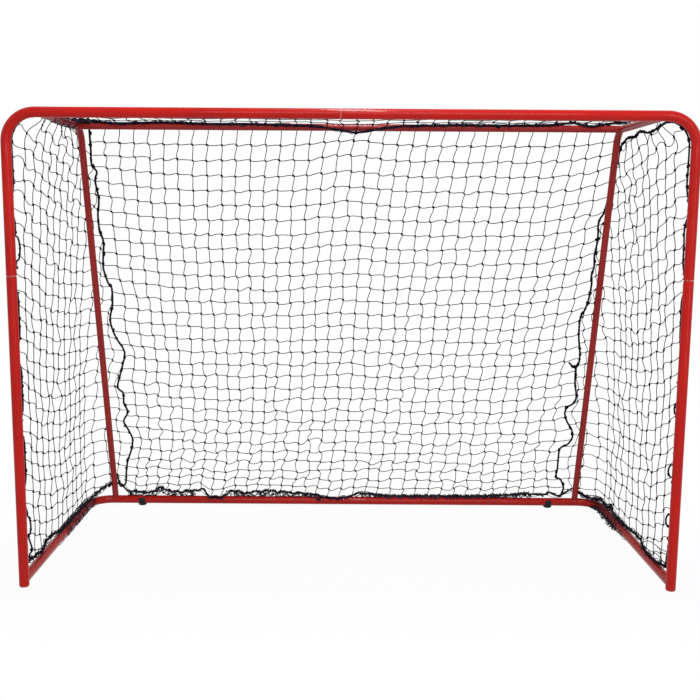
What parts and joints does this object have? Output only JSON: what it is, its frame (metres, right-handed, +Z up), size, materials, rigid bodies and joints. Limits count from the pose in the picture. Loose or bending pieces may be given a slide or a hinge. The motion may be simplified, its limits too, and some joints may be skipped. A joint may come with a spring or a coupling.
{
  "type": "hockey goal",
  "caption": "Free-standing hockey goal: a round red tube frame that plugs together and locks with snap buttons, with a black knotted net laced to it and rubber feet at the rear.",
  "frame": {"origin": "middle of the footprint, on the floor", "axes": "+X along the crossbar, +Y from the mouth to the rear, +Z up"},
  "size_m": [1.6556, 0.7398, 1.1816],
  "materials": {
    "frame_paint": "gloss red paint",
    "plug_plastic": "red plastic",
    "base_paint": "gloss red paint",
    "stub_steel": "bare steel",
    "hoop_paint": "gloss red paint",
    "foot_rubber": "black rubber",
    "button_steel": "plated steel",
    "spring_steel": "spring steel",
    "net_twine": "black twisted twine",
    "border_rope": "black braided rope",
    "lacing_twine": "black lacing twine",
    "hook_paint": "gloss red paint"
  },
  "bodies": {
    "frame": {"upper_frame_left": "frame_paint", "upper_frame_right": "frame_paint", "lower_post_left": "frame_paint", "lower_post_right": "frame_paint", "post_plug_left": "plug_plastic", "post_plug_right": "plug_plastic", "base_left": "base_paint", "base_right": "base_paint", "base_stub_left": "stub_steel", "base_stub_right": "stub_steel", "side_hoop_left": "hoop_paint", "side_hoop_right": "hoop_paint", "hoop_stub_left": "stub_steel", "hoop_stub_right": "stub_steel", "strut_stub_left": "stub_steel", "strut_stub_right": "stub_steel", "rear_top_bar_left": "hoop_paint", "rear_top_bar_right": "hoop_paint", "top_bar_stub_left": "stub_steel", "top_bar_stub_right": "stub_steel", "foot_left": "foot_rubber", "foot_right": "foot_rubber", "spring_crossbar": "spring_steel", "spring_post_left": "spring_steel", "spring_post_right": "spring_steel", "spring_base_left": "spring_steel", "spring_base_right": "spring_steel", "spring_rear_bar": "spring_steel", "spring_top_bar": "spring_steel", "net_back": "net_twine", "net_left": "net_twine", "net_right": "net_twine", "net_top": "net_twine", "rope_front": "border_rope", "rope_bottom": "border_rope", "rope_top": "border_rope", "rope_seam_left": "border_rope", "rope_seam_right": "border_rope", "lacing_rear_bar": "lacing_twine", "lacing_top_bar": "lacing_twine", "lacing_side_left": "lacing_twine", "lacing_side_right": "lacing_twine", "net_hooks_left": "hook_paint", "net_hooks_right": "hook_paint", "net_hooks_crossbar": "hook_paint"},
    "snap_crossbar": {"button_crossbar": "button_steel"},
    "snap_post_left": {"button_post_left": "button_steel"},
    "snap_post_right": {"button_post_right": "button_steel"},
    "snap_base_left": {"button_base_left": "button_steel"},
    "snap_base_right": {"button_base_right": "button_steel"},
    "snap_rear_bar": {"button_rear_bar": "button_steel"},
    "snap_top_bar": {"button_top_bar": "button_steel"}
  },
  "joints": [
    {"name": "crossbar_button_press", "type": "slide", "parent": "frame", "child": "snap_crossbar", "axis": [0, -1, 0], "range_m": [0, 0.0042], "stiffness_N_per_m": 2000, "deforming": ["spring_crossbar"]},
    {"name": "post_left_button_press", "type": "slide", "parent": "frame", "child": "snap_post_left", "axis": [0, -1, 0], "range_m": [0, 0.0042], "stiffness_N_per_m": 2000, "deforming": ["spring_post_left"]},
    {"name": "post_right_button_press", "type": "slide", "parent": "frame", "child": "snap_post_right", "axis": [0, -1, 0], "range_m": [0, 0.0042], "stiffness_N_per_m": 2000, "deforming": ["spring_post_right"]},
    {"name": "base_left_button_press", "type": "slide", "parent": "frame", "child": "snap_base_left", "axis": [1, 0, 0], "range_m": [0, 0.0042], "stiffness_N_per_m": 2000, "deforming": ["spring_base_left"]},
    {"name": "base_right_button_press", "type": "slide", "parent": "frame", "child": "snap_base_right", "axis": [-1, 0, 0], "range_m": [0, 0.0042], "stiffness_N_per_m": 2000, "deforming": ["spring_base_right"]},
    {"name": "rear_bar_button_press", "type": "slide", "parent": "frame", "child": "snap_rear_bar", "axis": [0, -1, 0], "range_m": [0, 0.0042], "stiffness_N_per_m": 2000, "deforming": ["spring_rear_bar"]},
    {"name": "top_bar_button_press", "type": "slide", "parent": "frame", "child": "snap_top_bar", "axis": [0, -1, 0], "range_m": [0, 0.0039], "stiffness_N_per_m": 2000, "deforming": ["spring_top_bar"]}
  ]
}
